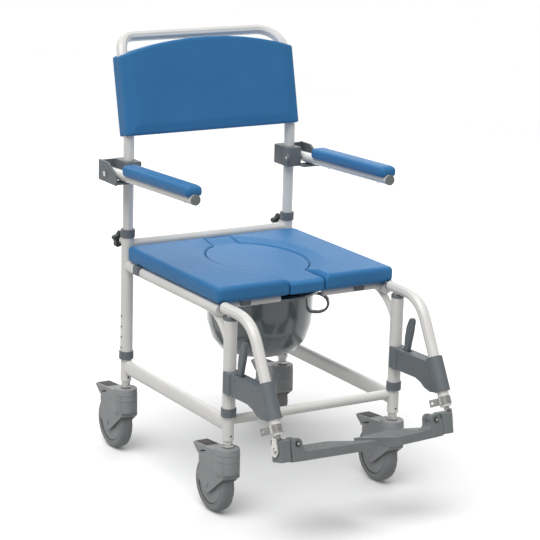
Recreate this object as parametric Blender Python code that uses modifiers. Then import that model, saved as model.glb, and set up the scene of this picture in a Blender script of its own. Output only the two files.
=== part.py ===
"""Wheeled shower commode chair, standing at rest in its lowest height setting.

Metres, +Z up, the sitter faces -Y. The model is built around the middle of the four legs, and the
chair empty then moves that middle so that the world origin lies on the floor under the middle of
the overall box. Left and right are the sides at -X and +X.
"""

import math

import bpy
from mathutils import Matrix, Vector

# Driving dimensions
LEG_MID_Y = 0.0537  # from the world origin to the middle of the legs
HALF_TRACK = 0.210
HALF_BASE = 0.2315
WHEEL_RADIUS = 0.0625
WHEEL_WIDTH = 0.030
CASTOR_TRAIL = 0.050
CASTOR_TOP = 0.1568
POST_RADIUS = 0.0125
POST_BOTTOM = 0.174
POST_TOP = 0.395
LEG_RADIUS = 0.0143
LEG_BORE = 0.0129
LEG_BOTTOM = 0.2285
FRONT_LEG_TOP = 0.4355
REAR_LEG_TOP = 0.527
RAIL_RADIUS = 0.0125
RAIL_Z = 0.4450
FRONT_BAR_Y = -0.170
FRONT_BAR_RADIUS = 0.0078
FRONT_BAR_Z = 0.4494
SEAT_BOTTOM = 0.4597
SEAT_TOP = 0.4965
SEAT_HALF_WIDTH = 0.2215
SEAT_FRONT = -0.1975
SEAT_REAR = 0.2125
APERTURE_HALF_WIDTH = 0.104
APERTURE_HALF_LENGTH = 0.143
APERTURE_Y = 0.016
BACK_TUBE_RADIUS = 0.0122
BACK_BEND_Z = 0.737
BACK_TILT = math.radians(11.5)
ARM_X = 0.2445
ARM_PIVOT = Vector((ARM_X, 0.234, 0.660))
ARM_FRONT_Y = -0.132
ARM_RISE = math.radians(2.1)
ARM_RADIUS = 0.0115
HANGER_Z = 0.455
HANGER_RADIUS = 0.0122
HANGER_SLOPE = math.radians(28.3)
FOOT_TILT = math.radians(14)
GAP = 0.0003  # between pieces that touch
CUT_OVERRUN = 0.004  # how far a cutter reaches past a face

X_AXIS = Vector((1, 0, 0))
Y_AXIS = Vector((0, 1, 0))
Z_AXIS = Vector((0, 0, 1))


# Scene, materials and modelling helpers


def clear_scene():
    for obj in list(bpy.data.objects):
        bpy.data.objects.remove(obj, do_unlink=True)


def new_collection(name):
    collection = bpy.data.collections.new(name)
    bpy.context.scene.collection.children.link(collection)
    return collection


def new_material(name, colour, roughness, metallic=0.0):
    material = bpy.data.materials.new(name)
    material.use_nodes = True
    shader = material.node_tree.nodes["Principled BSDF"]
    shader.inputs["Base Color"].default_value = (*colour, 1)
    shader.inputs["Roughness"].default_value = roughness
    shader.inputs["Metallic"].default_value = metallic
    material.diffuse_color = (*colour, 1)
    return material


def raw_object(data):
    obj = bpy.data.objects.new(data.name, data)
    bpy.context.scene.collection.objects.link(obj)
    return obj


def applied(obj):
    """The object as one plain mesh in world space, with its modifiers applied."""
    bpy.context.view_layer.update()
    graph = bpy.context.evaluated_depsgraph_get()
    mesh = bpy.data.meshes.new_from_object(obj.evaluated_get(graph))
    mesh.transform(obj.matrix_world)
    bpy.data.objects.remove(obj, do_unlink=True)
    solid = raw_object(mesh)
    weld = solid.modifiers.new("Weld", "WELD")
    weld.merge_threshold = 0.00001
    return solid


def boolean(target, tool, operation):
    modifier = target.modifiers.new(operation, "BOOLEAN")
    modifier.operation = operation
    modifier.solver = "EXACT"
    modifier.object = tool
    result = applied(target)
    bpy.data.objects.remove(tool, do_unlink=True)
    return result


def union(first, *others):
    for other in others:
        first = boolean(first, other, "UNION")
    return first


def cut(target, *tools):
    for tool in tools:
        target = boolean(target, tool, "DIFFERENCE")
    return target


def bevelled(obj, width, segments=2, angle=math.radians(30)):
    modifier = obj.modifiers.new("Bevel", "BEVEL")
    modifier.width = width
    modifier.segments = segments
    modifier.limit_method = "ANGLE"
    modifier.angle_limit = angle
    return applied(obj)


def box(low, high, bevel=0.0, segments=2):
    size = Vector(high) - Vector(low)
    middle = (Vector(high) + Vector(low)) / 2
    bpy.ops.mesh.primitive_cube_add(size=1)
    obj = bpy.context.active_object
    obj.data.transform(Matrix.Translation(middle) @ Matrix.Diagonal((*size, 1)))
    return bevelled(obj, bevel, segments) if bevel else applied(obj)


def rod(start, end, radius, sides=16, bevel=0.0, segments=1):
    """A round bar between two points."""
    start = Vector(start)
    along = Vector(end) - start
    bpy.ops.mesh.primitive_cylinder_add(vertices=sides, radius=radius, depth=along.length)
    obj = bpy.context.active_object
    turn = Z_AXIS.rotation_difference(along).to_matrix().to_4x4()
    obj.data.transform(Matrix.Translation(start + along / 2) @ turn)
    return bevelled(obj, bevel, segments) if bevel else applied(obj)


def tube(points, radius, resolution=3):
    """A bent bar along a list of points."""
    curve = bpy.data.curves.new("tube", "CURVE")
    curve.dimensions = "3D"
    curve.bevel_depth = radius
    curve.bevel_resolution = resolution
    curve.use_fill_caps = True
    spline = curve.splines.new("POLY")
    spline.points.add(len(points) - 1)
    for target, point in zip(spline.points, points):
        target.co = (*point, 1)
    return applied(raw_object(curve))


def prism(outline, half_thickness, place):
    """A flat outline given thickness both ways; place moves its plane into the chair."""
    curve = bpy.data.curves.new("prism", "CURVE")
    curve.dimensions = "2D"
    curve.fill_mode = "BOTH"
    curve.extrude = half_thickness
    spline = curve.splines.new("POLY")
    spline.points.add(len(outline) - 1)
    for target, point in zip(spline.points, outline):
        target.co = (*point, 0, 1)
    spline.use_cyclic_u = True
    obj = raw_object(curve)
    obj.matrix_world = place
    return applied(obj)


def turned(profile, centre, axis, sides=32):
    """A profile of (radius, height) points, each at a radius over 0, turned round an axis."""
    mesh = bpy.data.meshes.new("turned")
    vertices = [(radius, 0, height) for radius, height in profile]
    mesh.from_pydata(vertices, [(i, (i + 1) % len(vertices)) for i in range(len(vertices))], [])
    obj = raw_object(mesh)
    screw = obj.modifiers.new("Screw", "SCREW")
    screw.steps = sides
    screw.render_steps = sides
    screw.use_merge_vertices = True
    screw.merge_threshold = 0.00001
    screw.use_normal_calculate = True
    turn = Z_AXIS.rotation_difference(Vector(axis)).to_matrix().to_4x4()
    obj.matrix_world = Matrix.Translation(centre) @ turn
    return outward(applied(obj))


def outward(obj):
    """Turns a mesh inside out if its volume comes out negative."""
    mesh = obj.data
    mesh.calc_loop_triangles()
    volume = 0.0
    for triangle in mesh.loop_triangles:
        a, b, c = (mesh.vertices[i].co for i in triangle.vertices)
        volume += a.cross(b).dot(c)
    if volume < 0:
        mesh.flip_normals()
    return obj


def ring(centre, axis, inner, outer, length, bevel=0.0008):
    half = length / 2
    profile = [
        (outer - bevel, half),
        (outer, half - bevel),
        (outer, bevel - half),
        (outer - bevel, -half),
        (inner, -half),
        (inner, half),
    ]
    return turned(profile, centre, axis, 18)


def side_plane(x):
    """Places an outline drawn as (y, z) on the upright plane at x."""
    turn = Matrix(((0, 0, 1, 0), (1, 0, 0, 0), (0, 1, 0, 0), (0, 0, 0, 1)))
    return Matrix.Translation((x, 0, 0)) @ turn


def arc(centre, radius, start, end, steps):
    """Points on an arc of an outline, with its angles in degrees."""
    angles = [math.radians(start + (end - start) * i / steps) for i in range(steps + 1)]
    return [(centre[0] + radius * math.cos(a), centre[1] + radius * math.sin(a)) for a in angles]


def bend(start, corner, end, steps=6):
    """Points on a smooth bend that leaves start towards corner and arrives at end."""
    start, corner, end = Vector(start), Vector(corner), Vector(end)
    points = []
    for i in range(steps + 1):
        t = i / steps
        points.append(start * (1 - t) ** 2 + corner * (2 * t * (1 - t)) + end * t**2)
    return points


def mirrored(point, side):
    return Vector((point[0] * side, point[1], point[2]))


def finish(obj, name, material, origin, parent, smooth_angle=35):
    """Names a piece, moves its origin and hangs it on its parent."""
    weld = obj.modifiers.get("Weld")
    if weld:
        obj.modifiers.remove(weld)
    obj.name = name
    obj.data.name = name
    obj.data.transform(Matrix.Translation(-Vector(origin)))
    obj.data.materials.clear()
    obj.data.materials.append(material)
    obj.data.shade_smooth()
    obj.data.set_sharp_from_angle(angle=math.radians(smooth_angle))
    for collection in list(obj.users_collection):
        collection.objects.unlink(obj)
    chair_collection.objects.link(obj)
    obj.parent = parent
    obj.location = Vector(origin) - built_origin.get(parent.name, Vector())
    built_origin[name] = Vector(origin)
    return obj


# Materials

SIDES = {"left": -1, "right": 1}
ENDS = {"front": -1, "rear": 1}


def make_materials():
    return {
        "frame": new_material("white_powder_coat", (0.80, 0.79, 0.75), 0.35),
        "plastic": new_material("grey_plastic", (0.16, 0.18, 0.20), 0.55),
        "castor": new_material("castor_grey_plastic", (0.21, 0.215, 0.225), 0.55),
        "tyre": new_material("grey_rubber", (0.20, 0.205, 0.20), 0.65),
        "pad": new_material("blue_polyurethane", (0.045, 0.165, 0.40), 0.5),
        "pan": new_material("slate_polypropylene", (0.09, 0.11, 0.115), 0.35),
        "dark": new_material("dark_plastic", (0.04, 0.045, 0.05), 0.5),
        "metal": new_material("bright_steel", (0.75, 0.75, 0.74), 0.25, 1.0),
    }


# Base frame and castors


def leg_places():
    for end, along in ENDS.items():
        for side, across in SIDES.items():
            yield f"{end}_{side}", Vector((across * HALF_TRACK, along * HALF_BASE, 0))


def make_base_frame():
    """Four posts that carry the castors and fill the legs, two oval side rails and a front bar."""
    stem_pin, stem_radius, hole_radius, hole_depth = 0.006, 0.0098, 0.0025, 0.003
    stem_pin_bottom, hole_z = 0.137, 0.184
    rail_z, rail_half_height, rail_half_width = 0.2075, 0.017, 0.0085
    bar_y, bar_z, bar_radius = 0.006 - HALF_BASE, 0.2145, 0.0105
    frame = None
    holes = []
    for _, foot in leg_places():
        post = rod(foot + Z_AXIS * POST_BOTTOM, foot + Z_AXIS * POST_TOP, POST_RADIUS)
        stem = rod(
            foot + Z_AXIS * (CASTOR_TOP + GAP), foot + Z_AXIS * (POST_BOTTOM + 0.001), stem_radius, 6
        )
        pin = rod(
            foot + Z_AXIS * stem_pin_bottom, foot + Z_AXIS * (POST_BOTTOM - 0.005), stem_pin, 10
        )
        post = union(post, stem, pin)
        front_face = foot + Vector((0, -POST_RADIUS, hole_z))
        outside = front_face - Y_AXIS * CUT_OVERRUN
        holes.append(rod(outside, front_face + Y_AXIS * hole_depth, hole_radius, 8))
        frame = union(frame, post) if frame else post
    straight = rail_half_height - rail_half_width
    oval = arc((0, rail_z + straight), rail_half_width, 0, 180, 6)
    oval += arc((0, rail_z - straight), rail_half_width, 180, 360, 6)
    for across in SIDES.values():
        upright = Matrix(((1, 0, 0, across * HALF_TRACK), (0, 0, -1, 0), (0, 1, 0, 0), (0, 0, 0, 1)))
        frame = union(frame, prism(oval, HALF_BASE, upright))
    bar = rod((-HALF_TRACK, bar_y, bar_z), (HALF_TRACK, bar_y, bar_z), bar_radius)
    return cut(union(frame, bar), *holes)


def make_castor_fork(foot):
    """Round housing over the stem, two cheeks and the crown over the wheel, and the axle."""
    housing_radius, housing_bottom, cheek = 0.0262, 0.1010, 0.0212
    stem_bore, stem_bore_bottom, axle_radius = 0.0063, 0.1365, 0.006
    slot_radius, slot_half_width, hub_radius = 0.0655, 0.0162, 0.0190
    cover_radius, swept_start, swept_end = 0.043, 8, 42
    axle = (foot.y + CASTOR_TRAIL, WHEEL_RADIUS)
    y = foot.y
    outline = [(y + 0.004, 0.150), (y - 0.016, 0.145), (y - 0.017, 0.0925)]
    outline += arc(axle, hub_radius, 225, 335, 5)
    outline += arc(axle, cover_radius, swept_start, swept_end, 3)
    outline += [(y + 0.0850, 0.110), (y + 0.0840, 0.124), (y + 0.0575, 0.1325), (y + 0.0565, 0.1435)]
    body = prism(outline, cheek, side_plane(foot.x))
    shoulder = 0.0035
    housing_profile = [
        (housing_radius - shoulder, CASTOR_TOP),
        (housing_radius - shoulder * 0.3, CASTOR_TOP - shoulder * 0.3),
        (housing_radius, CASTOR_TOP - shoulder),
        (housing_radius, housing_bottom),
        (stem_bore, housing_bottom),
        (stem_bore, CASTOR_TOP),
    ]
    body = union(body, turned(housing_profile, foot, Z_AXIS, 20))
    axle_point = Vector((foot.x, *axle))
    slot = rod(
        axle_point - X_AXIS * slot_half_width, axle_point + X_AXIS * slot_half_width, slot_radius, 24
    )
    bore = rod(foot + Z_AXIS * stem_bore_bottom, foot + Z_AXIS * (CASTOR_TOP + CUT_OVERRUN), stem_bore, 12)
    body = cut(body, slot, bore)
    half_axle = X_AXIS * (cheek + 0.0015)
    return union(body, rod(axle_point - half_axle, axle_point + half_axle, axle_radius, 12))


def make_castor_wheel(axle_point):
    """Grey tyre with rounded shoulders on a dished hub, with the axle's bore."""
    bore, hub, face = 0.0063, 0.0445, 0.0125
    half = WHEEL_WIDTH / 2
    half_profile = [
        (bore, face),
        (hub, face),
        (hub + 0.0015, half),
        (WHEEL_RADIUS - 0.006, half),
        (WHEEL_RADIUS - 0.0016, half - 0.0035),
        (WHEEL_RADIUS, half - 0.010),
    ]
    profile = half_profile + [(radius, -height) for radius, height in reversed(half_profile)]
    return turned(profile, axle_point, X_AXIS, 24)


def make_castor_pedal(foot):
    """Foot pedal over the wheel, treading down on its rear end to lock wheel and swivel."""
    half_width = 0.018
    y = foot.y
    outline = [
        (y + 0.0600, 0.1338),
        (y + 0.0853, 0.1264),
        (y + 0.0878, 0.1185),
        (y + 0.0955, 0.1165),
        (y + 0.1160, 0.1325),
        (y + 0.1170, 0.1360),
        (y + 0.1140, 0.1385),
        (y + 0.0620, 0.1430),
        (y + 0.0595, 0.1410),
    ]
    return bevelled(prism(outline, half_width, side_plane(foot.x)), 0.0015, 1, math.radians(40))


def make_castors(materials, base):
    pedal_pivot = Vector((0, 0.062, 0.138))
    for place, foot in leg_places():
        swivel = foot + Z_AXIS * CASTOR_TOP
        axle_point = foot + Vector((0, CASTOR_TRAIL, WHEEL_RADIUS))
        fork = make_castor_fork(foot)
        fork = finish(fork, f"castor_fork_{place}", materials["castor"], swivel, base)
        wheel = make_castor_wheel(axle_point)
        finish(wheel, f"castor_wheel_{place}", materials["tyre"], axle_point, fork)
        pedal = make_castor_pedal(foot)
        finish(pedal, f"castor_pedal_{place}", materials["castor"], foot + pedal_pivot, fork)


# Seat frame, collars and knobs


def knob_boss_point(side):
    return Vector((side * HALF_TRACK, HALF_BASE, 0.4975))


def pan_guide_outline():
    """An angle whose ledge carries the pan's rim, drawn as (x, z) on the right side."""
    web_outer, web_inner, ledge_inner = 0.1425, 0.1385, 0.1265
    ledge_bottom, ledge_top, top = 0.4245, 0.4280, 0.4455
    return [
        (ledge_inner, ledge_bottom),
        (web_outer, ledge_bottom),
        (web_outer, top),
        (web_inner, top),
        (web_inner, ledge_top),
        (ledge_inner, ledge_top),
    ]


def make_seat_frame():
    """The welded frame that rises on the posts: legs, side rails, struts, cross bars, pan guides."""
    rail_front_y, cross_radius, cross_z = -0.1895, 0.011, 0.4945
    rear_tie_y, bar_inner_x, strut_radius = 0.187, 0.055, 0.0080
    boss_radius, boss_length, screw_hole = 0.0085, 0.012, 0.0043
    hole_radius, hole_depth = 0.0033, 0.006
    hole_pitch, lowest_hole, hole_count = 0.0249, 0.2531, 4
    guide_y, bracket_y = (-0.096, 0.192), (-0.093, -0.075)
    bracket_z, bracket_x = (0.4390, 0.4450), (0.141, 0.204)
    frame = None
    bores = []
    for place, foot in leg_places():
        top = FRONT_LEG_TOP if place.startswith("front") else REAR_LEG_TOP
        leg = rod(foot + Z_AXIS * LEG_BOTTOM, foot + Z_AXIS * top, LEG_RADIUS)
        bores.append(rod(foot + Z_AXIS * 0.2, foot + Z_AXIS * 0.6, LEG_BORE))
        frame = union(frame, leg) if frame else leg
    for side in SIDES.values():
        x = side * HALF_TRACK
        rail = rod((x, rail_front_y, RAIL_Z), (x, HALF_BASE, RAIL_Z), RAIL_RADIUS)
        strut = tube(
            bend((x, -0.128, RAIL_Z), (x, -0.196, 0.438), (x, 0.004 - HALF_BASE, 0.372), 6),
            strut_radius,
            1,
        )
        bar = rod(
            (side * bar_inner_x, FRONT_BAR_Y, FRONT_BAR_Z), (x, FRONT_BAR_Y, FRONT_BAR_Z), FRONT_BAR_RADIUS
        )
        frame = union(frame, rail, strut, bar)
        outline = [(side * px, pz) for px, pz in pan_guide_outline()]
        middle, half_length = sum(guide_y) / 2, (guide_y[1] - guide_y[0]) / 2
        upright = Matrix(((1, 0, 0, 0), (0, 0, -1, middle), (0, 1, 0, 0), (0, 0, 0, 1)))
        xs = sorted(side * px for px in bracket_x)
        bracket = box((xs[0], bracket_y[0], bracket_z[0]), (xs[1], bracket_y[1], bracket_z[1]))
        frame = union(frame, prism(outline, half_length, upright), bracket)
        boss = knob_boss_point(side)
        boss_end = boss + Y_AXIS * (LEG_RADIUS + boss_length)
        frame = union(frame, rod(boss + Y_AXIS * (LEG_RADIUS - 0.004), boss_end, boss_radius, 12))
        bores.append(rod(boss + Y_AXIS * 0.004, boss_end + Y_AXIS * CUT_OVERRUN, screw_hole, 10))
        for i in range(hole_count):
            outer = Vector((x + side * LEG_RADIUS, HALF_BASE, lowest_hole + i * hole_pitch))
            outwards = X_AXIS * side
            bores.append(rod(outer - outwards * hole_depth, outer + outwards * CUT_OVERRUN, hole_radius, 8))
    cross = rod((-HALF_TRACK, HALF_BASE, cross_z), (HALF_TRACK, HALF_BASE, cross_z), cross_radius)
    tie = rod(
        (-HALF_TRACK, rear_tie_y, FRONT_BAR_Z), (HALF_TRACK, rear_tie_y, FRONT_BAR_Z), FRONT_BAR_RADIUS
    )
    return cut(union(frame, cross, tie), *bores)


def collar_profile(inner, lip_inner, outer, lip, height):
    """A ring that wraps a tube's end, with a lip over the end face."""
    chamfer = 0.001
    return [
        (outer - chamfer, height),
        (outer, height - chamfer),
        (outer, 0),
        (lip_inner, 0),
        (lip_inner, lip),
        (inner, lip),
        (inner, height),
    ]


def make_collars(materials, frame):
    height, outer, lip = 0.0185, 0.0166, 0.0017
    for place, foot in leg_places():
        seat = foot + Z_AXIS * (LEG_BOTTOM - lip - GAP)
        profile = collar_profile(LEG_RADIUS + GAP, POST_RADIUS + GAP, outer, lip, height)
        collar = turned(profile, seat, Z_AXIS, 16)
        finish(collar, f"leg_collar_{place}", materials["plastic"], seat, frame)
    for name, side in SIDES.items():
        seat = Vector((side * HALF_TRACK, HALF_BASE, REAR_LEG_TOP + lip + GAP))
        profile = collar_profile(LEG_RADIUS + GAP, BACK_TUBE_RADIUS + GAP, outer, lip, height)
        collar = turned(profile, seat, -Z_AXIS, 16)
        finish(collar, f"back_collar_{name}", materials["plastic"], seat, frame)


def make_clamp_knob(side):
    """Five-lobed knob on a clamping screw that runs through the boss to the back tube."""
    screw_radius, lobes, mean_radius, lobe_height, half_thickness = 0.004, 5, 0.0168, 0.0028, 0.0065
    star_gap, tip_gap, steps = 0.004, 0.0006, 30
    boss = knob_boss_point(side)
    star_y = boss.y + LEG_RADIUS + 0.012 + star_gap + half_thickness
    star_centre = Vector((boss.x, star_y, boss.z))
    outline = []
    for i in range(steps):
        angle = 2 * math.pi * i / steps
        radius = mean_radius + lobe_height * math.sin(lobes * angle)
        outline.append((radius * math.cos(angle), radius * math.sin(angle)))
    facing_rear = Matrix(((1, 0, 0, 0), (0, 0, -1, 0), (0, 1, 0, 0), (0, 0, 0, 1)))
    star = prism(outline, half_thickness, Matrix.Translation(star_centre) @ facing_rear)
    star = bevelled(star, 0.0015, 1, math.radians(60))
    tip = boss + Y_AXIS * (BACK_TUBE_RADIUS + tip_gap)
    return union(star, rod(tip, star_centre, screw_radius, 10))


# Backrest


def back_point(x, depth, height):
    """A point of the leaning back: depth rearwards of the tube's axis, height up along it."""
    up = Vector((0, math.sin(BACK_TILT), math.cos(BACK_TILT)))
    rearwards = Vector((0, math.cos(BACK_TILT), -math.sin(BACK_TILT)))
    return Vector((x, HALF_BASE, BACK_BEND_Z)) + rearwards * depth + up * height


def back_tube_path():
    """Up the left side, rearwards and across as the push handle, and down the right side."""
    tube_bottom, lean_start, lean_end, handle_start, reach = 0.425, 0.018, 0.018, 0.168, 0.036
    handle_corner = Vector((-0.158, 0.316, 0.950))
    side = bend(
        (-HALF_TRACK, HALF_BASE, BACK_BEND_Z - lean_start),
        (-HALF_TRACK, HALF_BASE, BACK_BEND_Z),
        back_point(-HALF_TRACK, 0, lean_end),
        4,
    )
    start = back_point(-HALF_TRACK, 0, handle_start)
    first_pull = back_point(-HALF_TRACK, 0, handle_start + reach)
    last_pull = handle_corner - X_AXIS * reach
    turn_steps = 10
    for i in range(turn_steps + 1):
        t = i / turn_steps
        s = 1 - t
        point = start * s**3 + first_pull * (3 * s**2 * t) + last_pull * (3 * s * t**2)
        side.append(point + handle_corner * t**3)
    left = [Vector((-HALF_TRACK, HALF_BASE, tube_bottom))] + side
    return left + [mirrored(point, -1) for point in reversed(left)]


def make_back_pad():
    """Moulded pad with an arched top, bored for the two uprights that run through it."""
    half_width, bottom, corner, middle, front, rear = 0.2240, 0.003, 0.181, 0.2135, -0.0245, 0.0195
    edge_round, bore, extra_tilt = 0.014, 0.0127, math.radians(1.5)
    rise = middle - corner
    arch_radius = (half_width**2 + rise**2) / (2 * rise)
    reach = math.degrees(math.asin(half_width / arch_radius))
    outline = [(-half_width, bottom), (half_width, bottom)]
    outline += arc((0, middle - arch_radius), arch_radius, 90 - reach, 90 + reach, 10)
    across = X_AXIS
    up = Matrix.Rotation(-extra_tilt, 3, "X") @ (back_point(0, 0, 1) - back_point(0, 0, 0))
    forwards = across.cross(up)
    origin = back_point(0, (front + rear) / 2, 0)
    place = Matrix.Translation(origin) @ Matrix((across, up, forwards)).transposed().to_4x4()
    pad = prism(outline, (rear - front) / 2, place)
    pad = bevelled(pad, edge_round, 2, math.radians(40))
    return cut(pad, tube(back_tube_path(), bore, 3))


# Armrests


def arm_point(side, along, up=0.0):
    """A point on the arm tube: along forwards from the pivot, up square to the tube."""
    forwards = Vector((0, -math.cos(ARM_RISE), math.sin(ARM_RISE)))
    upwards = Vector((0, math.sin(ARM_RISE), math.cos(ARM_RISE)))
    return mirrored(ARM_PIVOT, side) + forwards * along + upwards * up


def arm_length():
    return (ARM_PIVOT.y - ARM_FRONT_Y) / math.cos(ARM_RISE)


def make_arm_bracket(side):
    """Clamp block round the upright with an open channel beside it, where the arm tube pivots."""
    outer, cheek_inner, block_outer, block_inner = 0.2670, 0.2615, 0.2285, 0.1905
    rear, rear_inner, block_front, cheek_front = 0.2670, 0.2610, 0.2050, 0.1840
    bottom, top, stop_top, bore, split = 0.6415, 0.6870, 0.6465, 0.0128, 0.0016
    bolt_radius = 0.0035
    cheek_outline = [
        (cheek_front, bottom),
        (rear, bottom),
        (rear, top),
        (0.2240, top),
        (0.1900, 0.6680),
        (cheek_front, 0.6560),
    ]
    cheek_middle = side * (outer + cheek_inner) / 2
    cheek = prism(cheek_outline, (outer - cheek_inner) / 2, side_plane(cheek_middle))
    cheek = bevelled(cheek, 0.0008, 1)
    xs = sorted((side * block_inner, side * block_outer))
    block = box((xs[0], block_front, bottom), (xs[1], rear, top), 0.003)
    xs = sorted((side * (block_inner + 0.006), side * (outer - 0.0015)))
    wall = box((xs[0], rear_inner, bottom + 0.0012), (xs[1], rear - 0.0012, top - 0.0012))
    xs = sorted((side * (block_outer - 0.006), side * (outer - 0.0015)))
    floor = box((xs[0], cheek_front + 0.0012, bottom + 0.0012), (xs[1], 0.2160, stop_top))
    bracket = union(cheek, block, wall, floor)
    upright = Vector((side * HALF_TRACK, HALF_BASE, 0))
    bore_tool = rod(upright + Z_AXIS * 0.62, upright + Z_AXIS * 0.70, bore)
    xs = sorted((side * (block_inner - 0.004), side * HALF_TRACK))
    split_low = (xs[0], HALF_BASE - split / 2, bottom - CUT_OVERRUN)
    split_tool = box(split_low, (xs[1], HALF_BASE + split / 2, top + CUT_OVERRUN))
    pivot = mirrored(ARM_PIVOT, side)
    bolt_tool = rod(
        pivot - X_AXIS * side * 0.022, pivot + X_AXIS * side * 0.03, bolt_radius + GAP, 12
    )
    return cut(bracket, bore_tool, split_tool, bolt_tool)


def make_arm_bolt(side):
    """Pivot bolt through the cheek and the tube into the clamp block, with a slotted round head."""
    shank, head, head_thickness, slot = 0.0035, 0.0062, 0.0025, 0.0012
    pivot = mirrored(ARM_PIVOT, side)
    outwards = X_AXIS * side
    face = pivot + outwards * (0.2670 - ARM_X + GAP)
    bolt = union(
        rod(pivot - outwards * 0.0205, face + outwards * 0.001, shank, 12),
        rod(face, face + outwards * head_thickness, head, 16, 0.0006),
    )
    low = face + outwards * (head_thickness - 0.0008)
    high = face + outwards * (head_thickness + 0.002)
    xs = sorted((low.x, high.x))
    groove = box((xs[0], pivot.y - 0.009, pivot.z - slot / 2), (xs[1], pivot.y + 0.009, pivot.z + slot / 2))
    return cut(bolt, groove)


def make_arm_tube(side):
    bore, rear_reach = 0.0039, 0.0145
    pivot = mirrored(ARM_PIVOT, side)
    bar = rod(arm_point(side, -rear_reach), arm_point(side, arm_length()), ARM_RADIUS, 20)
    hole = rod(pivot - X_AXIS * 0.02, pivot + X_AXIS * 0.02, bore, 12)
    return cut(bar, hole)


def make_arm_pad(side):
    """Plain closed form of the moulded pad that sits on the arm tube."""
    rear_along, front_margin, half_width, low, high = 0.072, 0.001, 0.0202, 0.0050, 0.0300
    first = arm_point(side, rear_along, (low + high) / 2)
    last = arm_point(side, arm_length() - front_margin, (low + high) / 2)
    middle = (first + last) / 2
    length = (last - first).length
    size = Vector((2 * half_width, length, high - low))
    bpy.ops.mesh.primitive_cube_add(size=1)
    pad = bpy.context.active_object
    pad.data.transform(Matrix.Diagonal((*size, 1)))
    pad.data.transform(Matrix.Rotation(-ARM_RISE, 4, "X"))
    pad.data.transform(Matrix.Translation(middle))
    pad = bevelled(pad, 0.0075, 2)
    channel = rod(
        arm_point(side, rear_along - 0.02), arm_point(side, arm_length() + 0.02), ARM_RADIUS + GAP, 20
    )
    return cut(pad, channel)


def make_arms(materials, back_tube):
    for name, side in SIDES.items():
        pivot = mirrored(ARM_PIVOT, side)
        bracket = finish(
            make_arm_bracket(side), f"arm_bracket_{name}", materials["plastic"], pivot, back_tube
        )
        finish(make_arm_bolt(side), f"arm_bolt_{name}", materials["metal"], pivot, bracket)
        bar = finish(make_arm_tube(side), f"arm_tube_{name}", materials["frame"], pivot, bracket)
        end = arm_point(side, arm_length() + GAP)
        forwards = arm_point(side, 1) - arm_point(side, 0)
        cap = rod(end, end + forwards * 0.0035, 0.0117, 20, 0.0008)
        finish(cap, f"arm_cap_{name}", materials["plastic"], end, bar)
        finish(make_arm_pad(side), f"arm_pad_{name}", materials["pad"], arm_point(side, 0.08), bar)


# Seat, infill and pan


def aperture_outline(inset):
    """Opening in the seat: an oval, a slot to the seat's front and a finger tab behind it."""
    half_across, half_along, centre_y = APERTURE_HALF_WIDTH - inset, APERTURE_HALF_LENGTH - inset, APERTURE_Y
    slot, tab, tab_end = 0.0435 - inset, 0.033 - inset, 0.200 - inset
    front = SEAT_FRONT + (0.001 if inset else -CUT_OVERRUN)
    slot_angle = math.degrees(math.asin(slot / half_across))
    tab_angle = math.degrees(math.asin(tab / half_across))
    right = [
        (half_across * math.sin(math.radians(a)), centre_y - half_along * math.cos(math.radians(a)))
        for a in [slot_angle + (180 - tab_angle - slot_angle) * i / 12 for i in range(13)]
    ]
    points = [(slot, front)] + right + [(tab, tab_end)]
    return points + [(-x, y) for x, y in reversed(points)]


def oval_outline(half_across, half_along, centre_y, steps=24):
    turns = [2 * math.pi * i / steps for i in range(steps)]
    return [(half_across * math.cos(a), centre_y + half_along * math.sin(a)) for a in turns]


def at_height(low, high):
    """Half thickness and placing for a flat outline between two heights."""
    return (high - low) / 2, Matrix.Translation((0, 0, (high + low) / 2))


LEDGE_TOP = 0.4690


def make_seat():
    """Plain closed form of the moulded seat, with its opening and the ledge under the infill."""
    edge_round = 0.008
    ledge_inset = 0.008
    body = box(
        (-SEAT_HALF_WIDTH, SEAT_FRONT, SEAT_BOTTOM), (SEAT_HALF_WIDTH, SEAT_REAR, SEAT_TOP), edge_round, 2
    )
    upper = prism(aperture_outline(0), *at_height(LEDGE_TOP, SEAT_TOP + CUT_OVERRUN))
    lower = prism(
        oval_outline(APERTURE_HALF_WIDTH - ledge_inset, APERTURE_HALF_LENGTH - ledge_inset, APERTURE_Y),
        *at_height(SEAT_BOTTOM - CUT_OVERRUN, LEDGE_TOP + 0.001),
    )
    slot = box(
        (-0.0435, SEAT_FRONT - CUT_OVERRUN, SEAT_BOTTOM - CUT_OVERRUN), (0.0435, -0.100, LEDGE_TOP + 0.001)
    )
    return cut(body, upper, lower, slot)


def make_infill():
    """Plain closed form of the lift-out infill, with a tongue that fills the front slot."""
    clearance, top = 0.0008, 0.4885
    tongue_rear, tongue_half = -0.134, 0.0427
    disc = prism(aperture_outline(clearance), *at_height(LEDGE_TOP + GAP, top))
    tongue_low = (-tongue_half, SEAT_FRONT + 0.0011, SEAT_BOTTOM + 0.001)
    tongue = box(tongue_low, (tongue_half, tongue_rear, top - 0.001))
    return bevelled(union(disc, tongue), 0.003, 1, math.radians(60))


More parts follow.
